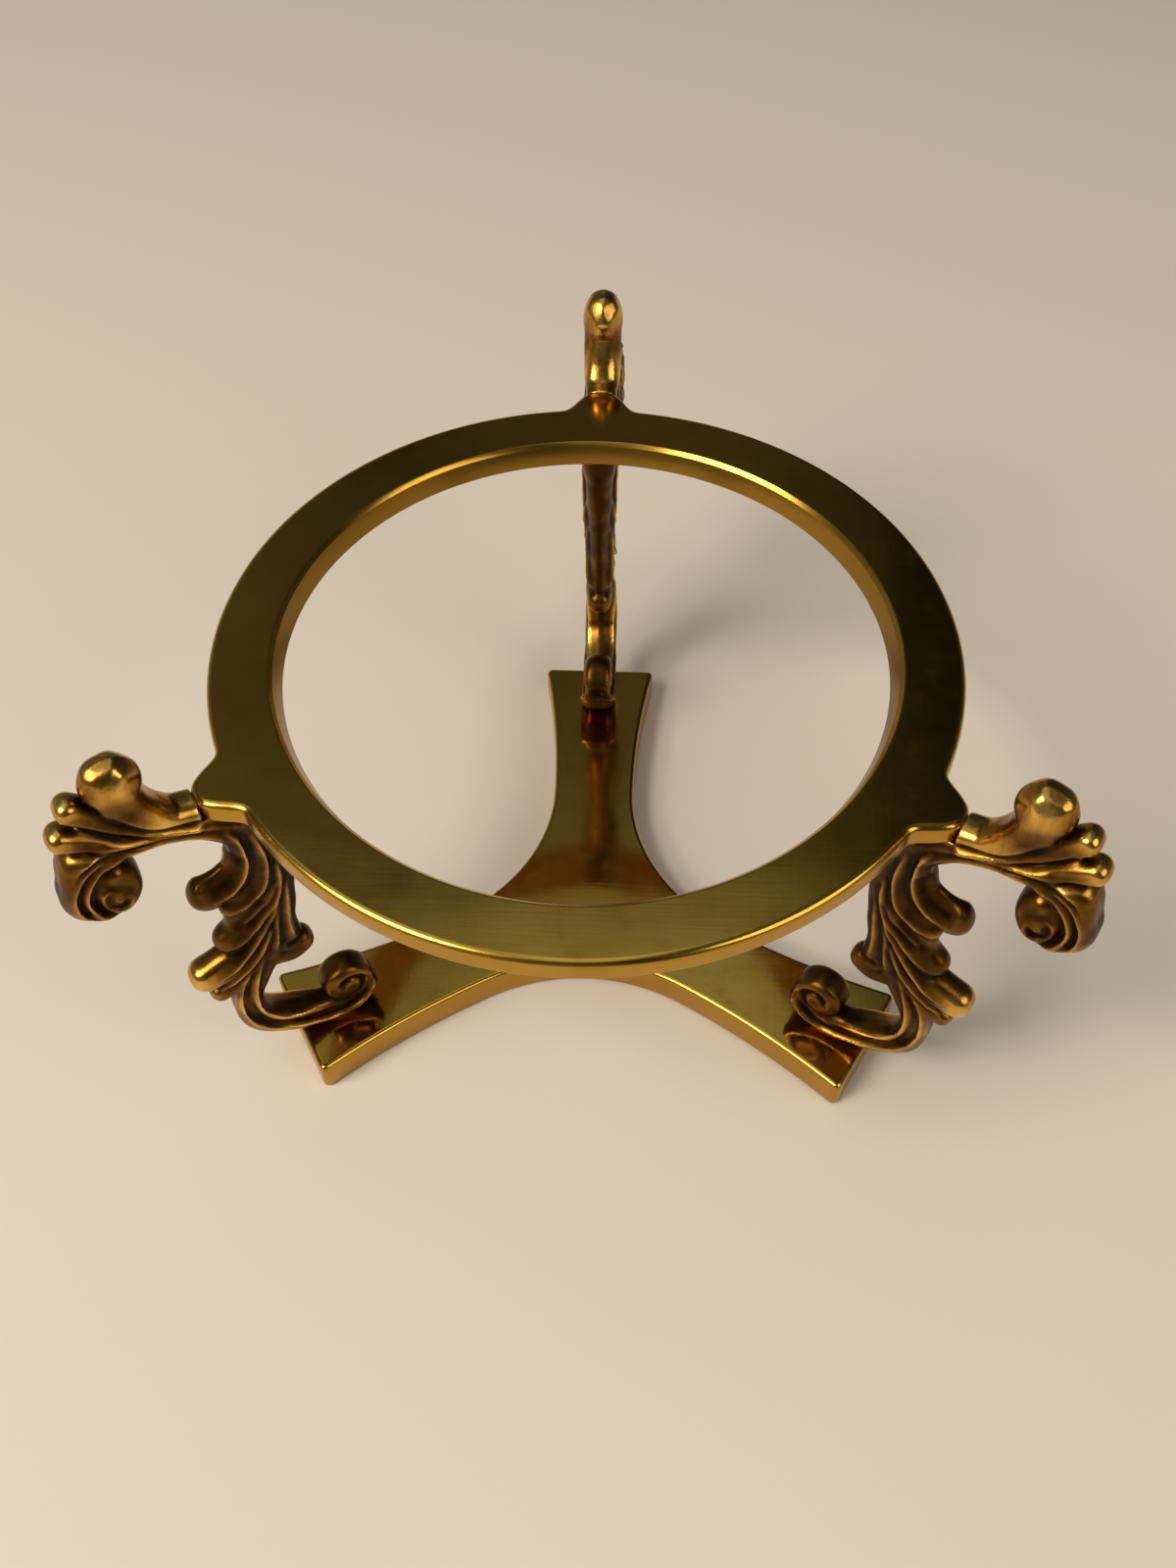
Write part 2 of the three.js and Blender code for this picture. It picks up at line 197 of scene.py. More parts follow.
def lug_half_width(radius):
    """Half width of a lug at a distance from the ring's axis, along its bowed side."""
    share = np.linspace(0, 1, LUG_SIDE_STEPS)
    root = RING_RADIUS - LUG_ROOT_DEPTH
    middle = RING_RADIUS + LUG_SIDE_REACH
    along = (1 - share) ** 2 * root + 2 * share * (1 - share) * middle + share ** 2 * LUG_TIP_RADIUS
    side = (1 - share) ** 2 * LUG_ROOT_HALF_WIDTH + 2 * share * (1 - share) * LUG_SIDE_HALF_WIDTH
    side = side + share ** 2 * LUG_TIP_HALF_WIDTH
    return np.interp(radius, along, side)


def ring_outline():
    """The ring's outer outline with its three lugs, anticlockwise."""
    angle = np.linspace(0, 2 * math.pi, RING_STEPS, endpoint=False)
    reach = np.full(RING_STEPS, RING_RADIUS)
    along = np.linspace(RING_RADIUS - LUG_ROOT_DEPTH, LUG_TIP_RADIUS, LUG_OUTLINE_STEPS)
    side = lug_half_width(along)
    lug_angle = np.append(np.arctan2(side, along)[::-1], math.pi)
    lug_reach = np.append(np.hypot(side, along)[::-1], 0)
    for azimuth in LEG_AZIMUTHS.values():
        away = np.abs((angle - math.radians(azimuth) + math.pi) % (2 * math.pi) - math.pi)
        on_lug = np.interp(away, lug_angle, lug_reach)
        on_tip = away < lug_angle[0]
        on_lug[on_tip] = LUG_TIP_RADIUS / np.cos(away[on_tip])
        on_lug[away > lug_angle[-2]] = 0
        reach = np.maximum(reach, on_lug)
    offsets = np.arange(-RING_STEPS // 2, RING_STEPS // 2) * (2 * math.pi / RING_STEPS)
    kernel = np.exp(-0.5 * (offsets / LUG_FAIRING) ** 2)
    kernel = np.fft.fft(np.fft.ifftshift(kernel / kernel.sum()))
    reach = np.real(np.fft.ifft(np.fft.fft(reach) * kernel))
    return np.column_stack([reach * np.cos(angle), reach * np.sin(angle)])


def make_ring(material):
    outline = ring_outline()
    normals = inward_normals(outline)
    circle = outline / np.linalg.norm(outline, axis=1)[:, None]
    border = RING_EDGE_ROUND + EDGE_STRIP
    outer = rounded_profile([
        (border, RING_UNDERSIDE, 0),
        (0, RING_UNDERSIDE, RING_LOWER_ROUND),
        (0, RING_TOP, RING_EDGE_ROUND),
        (border, RING_TOP, 0),
    ])
    inner_top = RING_RADIUS - RING_BAND_WIDTH
    inner_wall = inner_top - RING_INNER_CHAMFER
    inner_foot = inner_wall - RING_INNER_LEAN
    inner = rounded_profile([
        (inner_top + RING_TOP_STRIP, RING_TOP, 0),
        (inner_top, RING_TOP, RING_CRISP_ROUND),
        (inner_wall, RING_TOP - RING_INNER_CHAMFER, RING_CRISP_ROUND),
        (inner_foot, RING_UNDERSIDE, RING_CRISP_ROUND),
        (inner_foot + RING_UNDERSIDE_STRIP, RING_UNDERSIDE, 0),
    ], RING_CRISP_STEPS)
    loops = [at_height(outline + normals * inset, height) for inset, height in outer]
    loops += [at_height(circle * radius, height) for radius, height in inner]
    return new_piece("polished_ring", np.vstack(loops), loft(loops, closed=True), material,
                     "top_ring")


# Base

def arc(centre, radius, start, end, steps):
    angle = np.linspace(start, end, steps)
    return centre + radius * np.column_stack([np.cos(angle), np.sin(angle)])


def eased_corner(before, corner, after, steps=8):
    """A short curve that rounds the corner between two neighbouring stretches."""
    share = np.linspace(0, 1, steps)[:, None]
    start = corner + (before - corner) / np.linalg.norm(before - corner) * BASE_CORNER_ROUND
    end = corner + (after - corner) / np.linalg.norm(after - corner) * BASE_CORNER_ROUND
    return (1 - share) ** 2 * start + 2 * share * (1 - share) * corner + share ** 2 * end


def base_outline():
    """The base's outline, anticlockwise: flared arms with straight ends, and hollow arcs between them."""
    half_pitch = math.pi / len(LEG_AZIMUTHS)
    hollow_distance = BASE_WAIST_RADIUS / math.cos(half_pitch)
    hollow_radius = hollow_distance * math.sin(half_pitch) - BASE_WAIST_HALF_WIDTH
    flare_length = BASE_REACH - BASE_WAIST_RADIUS
    flare_width = BASE_END_HALF_WIDTH - BASE_WAIST_HALF_WIDTH
    flare_radius = (flare_length ** 2 + flare_width ** 2) / (2 * flare_width)
    flare_angle = math.asin(flare_length / flare_radius)
    flare_side = BASE_WAIST_HALF_WIDTH + flare_radius
    quarter = math.pi / 2
    flare_centre = (BASE_WAIST_RADIUS, -flare_side)
    flare = arc(flare_centre, flare_radius, quarter, quarter - flare_angle, BASE_ARC_STEPS)
    mirror = np.array([1, -1])
    corner = flare[-1]
    stretch = flare[np.linalg.norm(flare - corner, axis=1) > BASE_CORNER_ROUND]
    lower_corner = eased_corner(stretch[-1], corner, corner * mirror)
    end = np.linspace(lower_corner[-1], lower_corner[-1] * mirror, BASE_ARC_STEPS // 2)[1:-1]
    side = np.vstack([stretch, lower_corner])
    hollow_centre = hollow_distance * np.array([math.cos(half_pitch), math.sin(half_pitch)])
    hollow_end = -quarter - 2 * (quarter - half_pitch)
    hollow = arc(hollow_centre, hollow_radius, -quarter, hollow_end, BASE_ARC_STEPS)[1:-1]
    arm = np.vstack([side, end, (side * mirror)[::-1], hollow])
    return np.vstack([turned(arm, azimuth) for azimuth in LEG_AZIMUTHS.values()])


def make_base(material):
    outline = base_outline()
    normals = inward_normals(outline)
    border = BASE_EDGE_ROUND + EDGE_STRIP
    profile = rounded_profile([
        (border, 0, 0),
        (0, 0, BASE_EDGE_ROUND),
        (0, BASE_TOP, BASE_EDGE_ROUND),
        (border, BASE_TOP, 0),
    ])
    loops = [at_height(outline + normals * inset, height) for inset, height in profile]
    top = loops[-1]
    loops += [top * (share, share, 1) for share in BASE_TOP_SHARES]
    vertices = np.vstack([*loops, [(0, 0, BASE_TOP)]])
    faces = loft(loops)
    middle = len(vertices) - 1
    last = middle - len(outline)
    faces += [(last + step, last + (step + 1) % len(outline), middle) for step in range(len(outline))]
    for azimuth in LEG_AZIMUTHS.values():
        rim = arc((SCREW_PLACE, 0), SCREW_HOLE_RADIUS, 0, 2 * math.pi, SCREW_STEPS + 1)[:-1]
        ring = [turned(at_height(rim, height), azimuth) for height in (0, SCREW_HOLE_DEPTH)]
        faces += loft(ring, len(vertices))
        vertices = np.vstack([vertices, *ring])
        faces.append(tuple(range(len(vertices) - SCREW_STEPS, len(vertices))))
    piece = new_piece("polished_base", vertices, faces, material, "tripod_base")
    close_underside(piece)
    return piece


def close_underside(piece):
    """Fills the flat underside between the outline and the screw holes."""
    built = bmesh.new()
    built.from_mesh(piece.data)
    edges = [edge for edge in built.edges if edge.is_boundary]
    bmesh.ops.triangle_fill(built, use_beauty=True, edges=edges)
    bmesh.ops.recalc_face_normals(built, faces=built.faces)
    for edge in built.edges:
        if len(edge.link_faces) == 2 and edge.calc_face_angle(0) > BASE_CREASE:
            edge.smooth = False
    built.to_mesh(piece.data)
    built.free()


# Leg casting. Places on its middle plane are (out from the ring's edge, up from the base).

# Stems and leaves as (out, up, half width, half thickness) along each one
LEG_STROKES = [
    # Arm from the shoulder out under the lug
    [(-3, 65.6, 5.2, 3.4), (2, 69.3, 5.8, 3.5), (6.5, 71.3, 4.6, 3.5), (11, 72.6, 3.8, 3.4),
     (17, 72.9, 3.2, 3.2)],
    # Stem down from the shoulder
    [(-2.5, 71.7, 5.4, 3.4), (-2, 62.7, 5.4, 3.1), (-2.2, 52.7, 4.8, 2.9), (-2.3, 42.7, 3.7, 2.8),
     (-2.2, 36.5, 2.8, 2.7), (-2.2, 30, 3.0, 2.8)],
    # Stalk of the ball, and two knuckles between the ball and the scroll
    [(10.5, 73.2, 3.2, 3.5), (14, 76.7, 3.6, 3.7), (16.4, 81.2, 3.9, 3.8), (17, 83.7, 3.8, 3.8)],
    [(13, 73.2, 2.6, 2.9), (18, 76.7, 2.5, 2.9), (21.5, 80.7, 2.3, 2.7), (24.3, 83.6, 2.2, 2.6)],
    [(15, 72.7, 2.6, 3.0), (20.5, 74.7, 2.6, 3.0), (24, 76.5, 2.4, 2.9), (26.9, 77.9, 2.3, 2.7)],
    # Blade that the leaves share, and the leaves that fan out from the stem, from the top one down
    [(1, 58.8, 3.2, 2.3), (2.2, 48.8, 4.2, 2.3), (3.2, 40.4, 4.4, 2.3), (4.8, 32.8, 4.6, 2.4),
     (6.2, 26.7, 3.2, 2.4)],
    [(-2, 61, 3.0, 2.6), (0.5, 55.5, 3.8, 2.4), (4.2, 52.2, 4.3, 2.3), (8.3, 51.1, 4.0, 2.6)],
    [(-3, 55.7, 2.2, 2.4), (-1, 49.4, 2.2, 2.4), (2, 46.6, 2.2, 2.3), (5.7, 45.3, 2.0, 2.3)],
    [(-3.2, 49.7, 2.4, 2.4), (-0.5, 43.2, 2.8, 2.3), (3.5, 39.2, 3.3, 2.3), (7.3, 36.2, 3.2, 2.5)],
    [(-3, 44.7, 2.6, 2.5), (0, 37.7, 3.0, 2.4), (5, 32.4, 3.2, 2.5), (9.5, 29.7, 3.3, 2.8),
     (13.4, 28.2, 3.3, 3.1)],
    [(-2, 38.7, 2.4, 2.5), (2, 31.2, 2.4, 2.4), (6.5, 25.9, 2.3, 2.4), (12.2, 22.2, 2.0, 2.5)],
    # Curled lip at the lower end of the stem
    [(0.2, 26.7, 2.6, 2.7), (-2.2, 26.5, 2.8, 2.7), (-4.0, 27.5, 3.0, 2.6)],
    # Lower stem and rolled foot
    [(-0.5, 35.7, 3.0, 2.8), (2, 28.7, 3.0, 2.8), (5.5, 22.2, 3.0, 2.9), (7.8, 15.7, 2.9, 2.9),
     (7, 9.7, 3.0, 3.0), (2.5, 5.6, 3.3, 3.0), (-3.5, 3.0, 3.3, 3.1), (-8.5, 2.8, 3.0, 3.1),
     (-13, 4.2, 2.2, 3.1), (-15.2, 7.2, 1.5, 3.1)],
]
# Rounded forms as (out, up, radius, half thickness, squareness)
LEG_BALL = (17, 86.3, 4.9, 4.0, 2.3)
FOOT_ROLL = (-11, 9.4, 5.0, 3.3, 4.0)
SCROLL_EYE = (22.2, 62.3, 4.1, 4.2, 2.2)
SCROLL_WEB = (24.2, 63.6, 6.4, 3.1, 4.0)
KNUCKLE_WEB = (20.3, 76.2, 5.2, 2.2, 4.0)
# Flats filed on the ball, as the direction (out, side, up) that each faces, and their distance from its
# middle as a share of its size
BALL_FLATS = [
    (0.25, 0.30, 0.92), (-0.70, 0.35, 0.62), (0.10, 0.85, 0.52), (-0.62, 0.78, 0.02),
    (0.75, 0.60, 0.25),
]
BALL_FLAT_SHARE = 0.955
BALL_FLAT_EASE = 0.6
LEG_ROUNDS = [FOOT_ROLL, SCROLL_EYE, SCROLL_WEB, KNUCKLE_WEB]
SCROLL_CENTRE = (23.8, 64.1)
SCROLL_LEAD_IN = [(15, 72.7, 3.2, 3.4), (21, 73.2, 3.2, 3.5), (26, 71.3, 3.1, 3.5)]
SCROLL_TURNS = 0.72
SCROLL_START = math.radians(30)
SCROLL_RADII = (4.42, 3.5)
SCROLL_HALF_WIDTHS = (2.6, 2.4)
SCROLL_HALF_THICKNESS = 3.5
SCROLL_POINTS = 9


def spiral(centre, radii, degrees, points=9):
    """Places on a spiral about a centre, with its first and last radius and angle."""
    angle = np.radians(np.linspace(*degrees, points))
    radius = np.linspace(*radii, points)
    return list(zip(centre[0] + radius * np.cos(angle), centre[1] + radius * np.sin(angle)))


# Raised rims as (height, places), each with the scoop of its own leaf to the left of its course
LEG_RIMS = [
    # Leaves from the top one down, with a lesser vein between some of them
    (1.0, [(4, 69.2), (1.8, 66.2), (1.1, 62), (1.2, 57.5), (2.6, 53.6), (5.3, 51), (8.5, 49.6)]),
    (0.8, [(-0.5, 66), (-1.8, 61), (-2, 55.5), (-0.7, 50.2), (2.3, 46.8), (6, 45.2), (7.8, 45.2)]),
    (0.4, [(-2.7, 51), (-0.8, 45.8), (2.5, 42.4), (6, 40.2)]),
    (0.9, [(-3.2, 57), (-3.6, 51.5), (-2.3, 45.7), (0.7, 41.2), (4.5, 37.3), (9, 34.6)]),
    (0.4, [(-1.2, 44), (1.8, 39.2), (5.6, 35.2), (9.5, 32.4)]),
    (1.0, [(-2.6, 49), (-1.4, 42.8), (1, 38.2), (4.3, 33.7), (8, 30.2), (12, 27.6)]),
    (0.8, [(-0.5, 40), (1.5, 34.5), (4.3, 29.6), (8.3, 26.2), (12.5, 23.8)]),
    (0.5, [(1.2, 35.4), (3.4, 30), (6.4, 25.6), (9.5, 23.2)]),
    # Both borders of the lower stem and the foot
    (0.8, [(2.5, 33), (6.5, 26), (9, 20.5), (9.4, 15), (7.8, 10), (4.8, 6.4), (0.5, 4), (-4.5, 2.5),
           (-9.5, 2.3), (-13.5, 4.2), (-15.6, 8.2), (-15.2, 12)]),
    (0.7, [(1.5, 33.5), (4.2, 27), (6, 21), (6.2, 15.5), (4.8, 10.8), (1.8, 8), (-2.5, 6.3), (-6.6, 5.8)]),
    # Folds of the stem above its lip
    (0.6, [(-4.3, 51), (-3.9, 44), (-3.2, 37), (-3.6, 31)]),
    (0.6, [(-2.2, 46), (-1, 39), (-0.2, 33), (0.3, 29.5)]),
    # Ribs of the arm
    (0.5, [(2.5, 64), (4.5, 67.2), (8, 69.6), (12.5, 71.0), (17, 71.6), (21.5, 71.2)]),
    (0.5, [(0.5, 68.2), (5, 70.6), (11, 72.4), (17, 73.6), (22, 74.0), (26, 72.4), (28.6, 69)]),
    # Turns of the scroll
    (0.8, [(17, 71.2), (21.5, 70.6), (25, 68.2), (26.7, 65.2), (26.6, 62), (25.1, 59.5), (22.6, 58.2)]),
    (0.6, [(21, 73.0), (25.2, 71.2), (27.8, 68), (28.7, 64.5), (28, 61.2), (26.2, 58.8)]),
    (0.5, spiral(SCROLL_EYE, (3.0, 1.6), (80, -220))),
]
# Grooves as (depth, half width, places)
LEG_GROOVES = [
    # Hollow beside the lug, then the lines between the stalk, the knuckles and the scroll
    (0.9, 1.6, [(-1, 70.0), (3, 70.8), (7, 71.9)]),
    (0.8, 0.8, [(0, 70.6), (5, 72.2), (10, 73.4), (14, 74.9), (17, 77.8), (19.6, 82)]),
    (0.7, 0.7, [(8, 71.6), (13, 73), (18, 75.2), (22.7, 78.9), (25.5, 81.6)]),
    (0.7, 0.7, [(12, 71.6), (17, 72.8), (22, 74.0), (26.5, 75.3), (29, 75.8)]),
    # Scoops in the middle of the broad leaves, and the turn of the foot's roll
    (0.7, 2.2, [(2.6, 61), (4, 56.6), (7, 54), (10, 53.4)]),
    (0.5, 1.4, [(-0.4, 47), (3, 43.4), (6.6, 40)]),
    (0.5, 1.5, [(1.5, 38.6), (5, 35.0), (9, 32.2)]),
    (0.6, 1.0, [(-5.6, 31.2), (-3.4, 30.2), (-1.0, 30.6)]),
    (0.6, 0.8, [(3.6, 29), (7.4, 22), (7.8, 15.5), (6.2, 10), (2.8, 6.4), (-2, 4.4), (-7, 3.8),
               (-11.5, 4.4)]),
    (0.9, 0.7, spiral(FOOT_ROLL, (3.6, 1.4), (-70, -380), 14)),
]
# Places that hands and files keep bright, as (out, up, reach, share)
LEG_BRIGHT_SPOTS = [
    (16.5, 87.5, 5.0, 0.9), (24.5, 84.5, 2.4, 0.7), (27.5, 78.0, 2.4, 0.7), (14.5, 28.0, 3.6, 0.95),
    (11.0, 76.5, 4.5, 0.9), (2.5, 7.5, 4.0, 0.4), (9.0, 48.5, 2.5, 0.3),
]
# Height of the slow waves of the cast surface, and their rates along (out, up) and to the side
LEG_UNEVENNESS = 0.1
RISING_WAVE = (0.83, 0.31)
FALLING_WAVE = (0.22, 0.57)
SIDE_WAVE = 0.6
# Places that are made lighter or darker, as (out, up, reach, wear)
LEG_TONES = [
    (1.0, 7.0, 11.0, 0.03), (7.0, 17.0, 6.0, 0.20), (25.5, 65.0, 6.0, 0.06), (9.0, 51.5, 5.0, -0.05),
]
# Wear of a flat face, and what the bulge of the surface within a reach adds to it
FLAT_WEAR = 0.23
FINE_REACH = 0.6
FINE_WEAR = 1.5
BROAD_REACH = 2.1
BROAD_WEAR = 0.12
# Polish of the arm's inner edges and a painted highlight on its upward faces, which come in between two
# heights
ARM_POLISH_AND_HIGHLIGHT = 0.9
ARM_POLISH_AND_HIGHLIGHT_UP = (70.0, 76.0)
SMALL = 1e-6


def scroll_path():
    """The rolled scroll at the outer end of the arm: a lead-in from the arm, then a closing spiral."""
    end = SCROLL_START - SCROLL_TURNS * 2 * math.pi
    turn = spiral(SCROLL_CENTRE, SCROLL_RADII, (math.degrees(SCROLL_START), math.degrees(end)), SCROLL_POINTS)
    half_width = np.linspace(*SCROLL_HALF_WIDTHS, SCROLL_POINTS)
    return SCROLL_LEAD_IN + [(*place, half, SCROLL_HALF_THICKNESS) for place, half in zip(turn, half_width)]


def smooth_path(points):
    """A smooth line through points in short steps. Further columns, such as a half width, go along."""
    rows = np.array(points, float)
    rows = np.vstack([2 * rows[0] - rows[1], rows, 2 * rows[-1] - rows[-2]])
    stretches = []
    for a, b, c, d in zip(rows, rows[1:], rows[2:], rows[3:]):
        count = max(2, math.ceil(np.linalg.norm((c - b)[:2]) / PATH_STEP))
        t = np.linspace(0, 1, count, endpoint=False)[:, None]
        cubic = 3 * b - a - 3 * c + d
        square = 2 * a - 5 * b + 4 * c - d
        stretches.append(0.5 * (2 * b + (c - a) * t + square * t ** 2 + cubic * t ** 3))
    return np.vstack([*stretches, rows[-2:-1]])


def nearest(path, out, up):
    """Distance from each place to a path, the path's further columns there, and if it lies left of it."""
    distance = np.full(out.shape, np.inf)
    values = np.zeros((path.shape[1] - 2, *out.shape))
    left = np.zeros(out.shape, bool)
    for start, end in zip(path, path[1:]):
        along = end[:2] - start[:2]
        share = ((out - start[0]) * along[0] + (up - start[1]) * along[1]) / (along @ along)
        share = np.clip(share, 0, 1)
        gap_out = out - start[0] - share * along[0]
        gap_up = up - start[1] - share * along[1]
        gap = np.hypot(gap_out, gap_up)
        closer = gap < distance
        distance[closer] = gap[closer]
        left[closer] = (along[0] * gap_up - along[1] * gap_out > 0)[closer]
        for value, first, last in zip(values, start[2:], end[2:]):
            value[closer] = (first + share * (last - first))[closer]
    return distance, values, left


def blended(a, b, blend):
    """Union of two fields with a small fillet."""
    share = np.clip(0.5 + 0.5 * (b - a) / blend, 0, 1)
    return b + (a - b) * share - blend * share * (1 - share)


def faded(points):
    """A smooth path with a strength that fades towards both ends."""
    path = smooth_path(points)
    steps = np.linalg.norm(np.diff(path, axis=0), axis=1)
    share = np.append(0, np.cumsum(steps)) / steps.sum()
    return np.column_stack([path, np.clip(RIM_FADE * np.minimum(share, 1 - share), 0, 1)])


def relief(out, up):
    """Depth of the carving on the faces. A rim falls gently into its leaf, and steeply beyond it."""
    hollow = np.zeros(out.shape)
    raised = np.zeros(out.shape)
    for height, points in LEG_RIMS:
        distance, (strength,), left = nearest(faded(points), out, up)
        fall = np.where(left, RIM_SCOOP, RIM_STEP)
        down = np.hypot(distance, RIM_CREST) - RIM_CREST
        raised = np.maximum(raised, height * strength * np.exp(-down / fall))
        away = distance / RIM_GROOVE_REACH
        groove = RIM_GROOVE_DEPTH * away * np.exp(1 - away)
        hollow = np.maximum(hollow, np.where(left, 0, strength * groove))
    for depth, half_width, points in LEG_GROOVES:
        distance, (strength,), _ = nearest(faded(points), out, up)
        hollow = np.maximum(hollow, depth * strength * np.exp(-(distance / half_width) ** 2))
    return hollow - raised


def squared_norm(across, side_line, thick, power):
    """1 on the surface of a form that is 1 wide across the plane and thick to its side."""
    return (across[:, None, :] ** power + (side_line / thick[:, None, :]) ** power) ** (1 / power)


def stroke_field(points, out_plane, up_plane, side_line):
    """Field of a stem or leaf along a path with its half width and half thickness."""
    distance, (half_width, thick), _ = nearest(smooth_path(points), out_plane, up_plane)
    pad = squared_norm(distance / half_width, side_line, thick, LEG_SQUARENESS) - 1
    return pad * np.minimum(thick, half_width)[:, None, :]


def round_field(shape, out_plane, up_plane, side_line):
    """Field of a rounded form."""
    round_out, round_up, radius, thick, squareness = shape
    distance = np.hypot(out_plane - round_out, up_plane - round_up)
    form = squared_norm(distance / radius, side_line, np.full(distance.shape, thick), squareness) - 1
    return form * thick


def filed_ball(out_plane, up_plane, side_line):
    """Field of the ball with its small flats."""
    form = round_field(LEG_BALL, out_plane, up_plane, side_line)
    ball_out, ball_up, radius, thick, _ = LEG_BALL
    across = ((out_plane - ball_out) / radius)[:, None, :]
    upward = ((up_plane - ball_up) / radius)[:, None, :]
    for facing in BALL_FLATS:
        length = math.hypot(*facing)
        flat = (facing[0] * across + facing[1] * side_line / thick + facing[2] * upward) / length
        form = -blended(-form, (BALL_FLAT_SHARE - flat) * thick, BALL_FLAT_EASE)
    return form


def unevenness(out_plane, up_plane, side_line):
    """Slow waves of the cast surface."""
    rising = np.sin(RISING_WAVE[0] * out_plane + RISING_WAVE[1] * up_plane)
    falling = np.sin(FALLING_WAVE[1] * up_plane - FALLING_WAVE[0] * out_plane)
    return LEG_UNEVENNESS * (rising * falling)[:, None, :] * np.cos(SIDE_WAVE * side_line)


def ring_seat(out_plane, height):
    """Field of the room that the ring and its lugs take, negative where the leg is cut away for them."""
    outside = (out_plane + RING_RADIUS - LUG_TIP_RADIUS)[:, None, :]
    into_edge = np.clip(1 - (RING_TOP - height) / RING_EDGE_ROUND, 0, 1)
    inset = RING_EDGE_ROUND * (1 - np.sqrt(1 - into_edge ** 2))
    return np.maximum(outside + inset, RING_UNDERSIDE - height)


def leg_field():
    """Signed field of one leg along +X on a grid, negative inside, with the grid's first corner."""
    out = np.arange(*LEG_SPREAD_OUT, LEG_CELL)
    up = np.arange(*LEG_SPREAD_UP, LEG_CELL)
    side = np.arange(0, SCROLL_EYE[3] + LEG_MARGIN, LEG_CELL)
    out_plane, up_plane = np.meshgrid(out, up, indexing="ij")
    side_line = side[None, :, None]
    grid = (out_plane, up_plane, side_line)
    forms = [stroke_field(points, *grid) for points in [*LEG_STROKES, scroll_path()]]
    forms.append(filed_ball(*grid))
    forms += [round_field(shape, *grid) for shape in LEG_ROUNDS]
    field = forms[0]
    for form in forms[1:]:
        field = blended(field, form, LEG_BLEND)
    on_face = np.clip((side_line - FACE_START) / FACE_EASE, 0, 1)
    field = field + relief(out_plane, up_plane)[:, None, :] * on_face
    field = field + unevenness(*grid)
    height = (up_plane + BASE_TOP)[:, None, :]
    field = -blended(-field, ring_seat(out_plane, height) - SEAT_FIT, SEAT_EASE)
    field = np.maximum(field, BASE_TOP - height)
    whole = np.concatenate([field[:, :0:-1, :], field], axis=1)
    corner = np.array([out[0] + RING_RADIUS, -side[-1], up[0] + BASE_TOP])
    return whole.astype(np.float32), corner


def grid_window(values, corner, cells):
    """The values of a grid at one corner of all its cells."""
    return values[tuple(slice(start, start + count) for start, count in zip(corner, cells))]


def surface_net(field):
    """Quads on the zero level of a field, with vertices in grid steps."""
    inside = field < 0
    cells = tuple(count - 1 for count in field.shape)
    filled = sum(grid_window(inside, corner, cells).astype(np.int8) for corner in CELL_CORNERS)
    active = (filled > 0) & (filled < len(CELL_CORNERS))
    place = np.argwhere(active)
    number = np.full(cells, -1)
    number[active] = np.arange(len(place))
    total = np.zeros((len(place), 3))
    crossings = np.zeros(len(place))
    for axis in range(3):
        for corner in CELL_CORNERS:
            if corner[axis]:
                continue
            other = np.array(corner)
            other[axis] = 1
            near = field[tuple((place + corner).T)]
            far = field[tuple((place + other).T)]
            cut = (near < 0) != (far < 0)
            share = near[cut] / (near[cut] - far[cut])
            point = np.tile(np.array(corner, float), (len(share), 1))
            point[:, axis] = share
            total[cut] += point
            crossings[cut] += 1
    vertices = place + total / crossings[:, None]
    step = np.eye(3, dtype=int)
    quads = []
    for axis in range(3):
        second, third = (axis + 1) % 3, (axis + 2) % 3
        low = [slice(1, count - 1) for count in field.shape]
        low[axis] = slice(0, field.shape[axis] - 1)
        high = list(low)
        high[axis] = slice(1, field.shape[axis])
        edges = np.argwhere(inside[tuple(low)] != inside[tuple(high)]) + 1
        edges[:, axis] -= 1
        rising = inside[tuple(edges.T)]
        around = [edges, edges - step[second], edges - step[second] - step[third], edges - step[third]]
        quad = np.column_stack([number[tuple(cell.T)] for cell in around])
        quad[~rising] = quad[~rising][:, ::-1]
        quads.append(quad)
    return vertices, np.vstack(quads)


def sampled(values, places):
    """Values of a grid at places given in grid steps, mixed from the eight corners around each."""
    limit = np.array(values.shape) - 2
    low = np.clip(np.floor(places).astype(int), 0, limit)
    share = places - low
    result = 0
    for corner in CELL_CORNERS:
        weight = 1
        for axis, far in enumerate(corner):
            weight = weight * (share[:, axis] if far else 1 - share[:, axis])
        result = result + weight * values[tuple((low + corner).T)]
    return result


def box_blurred(values, reach):
    """Mean of a grid over a cube of reach cells each way, more than once."""
    for _ in range(BLUR_ROUNDS):
        for axis in range(3):
            pad = [(0, 0)] * 3
            pad[axis] = (reach + 1, reach)
            sums = np.cumsum(np.pad(values, pad, mode="edge"), axis=axis, dtype=np.float64)
            size = values.shape[axis]
            high = np.take(sums, range(2 * reach + 1, 2 * reach + 1 + size), axis=axis)
            low = np.take(sums, range(size), axis=axis)
            values = (high - low) / (2 * reach + 1)
    return values


def nearness(places, out, up, reach):
    """1 at a place of the leg, falling off within a reach."""
    away = np.hypot(places[:, 0] - out - RING_RADIUS, places[:, 2] - up - BASE_TOP) / reach
    return np.exp(-away ** 2)


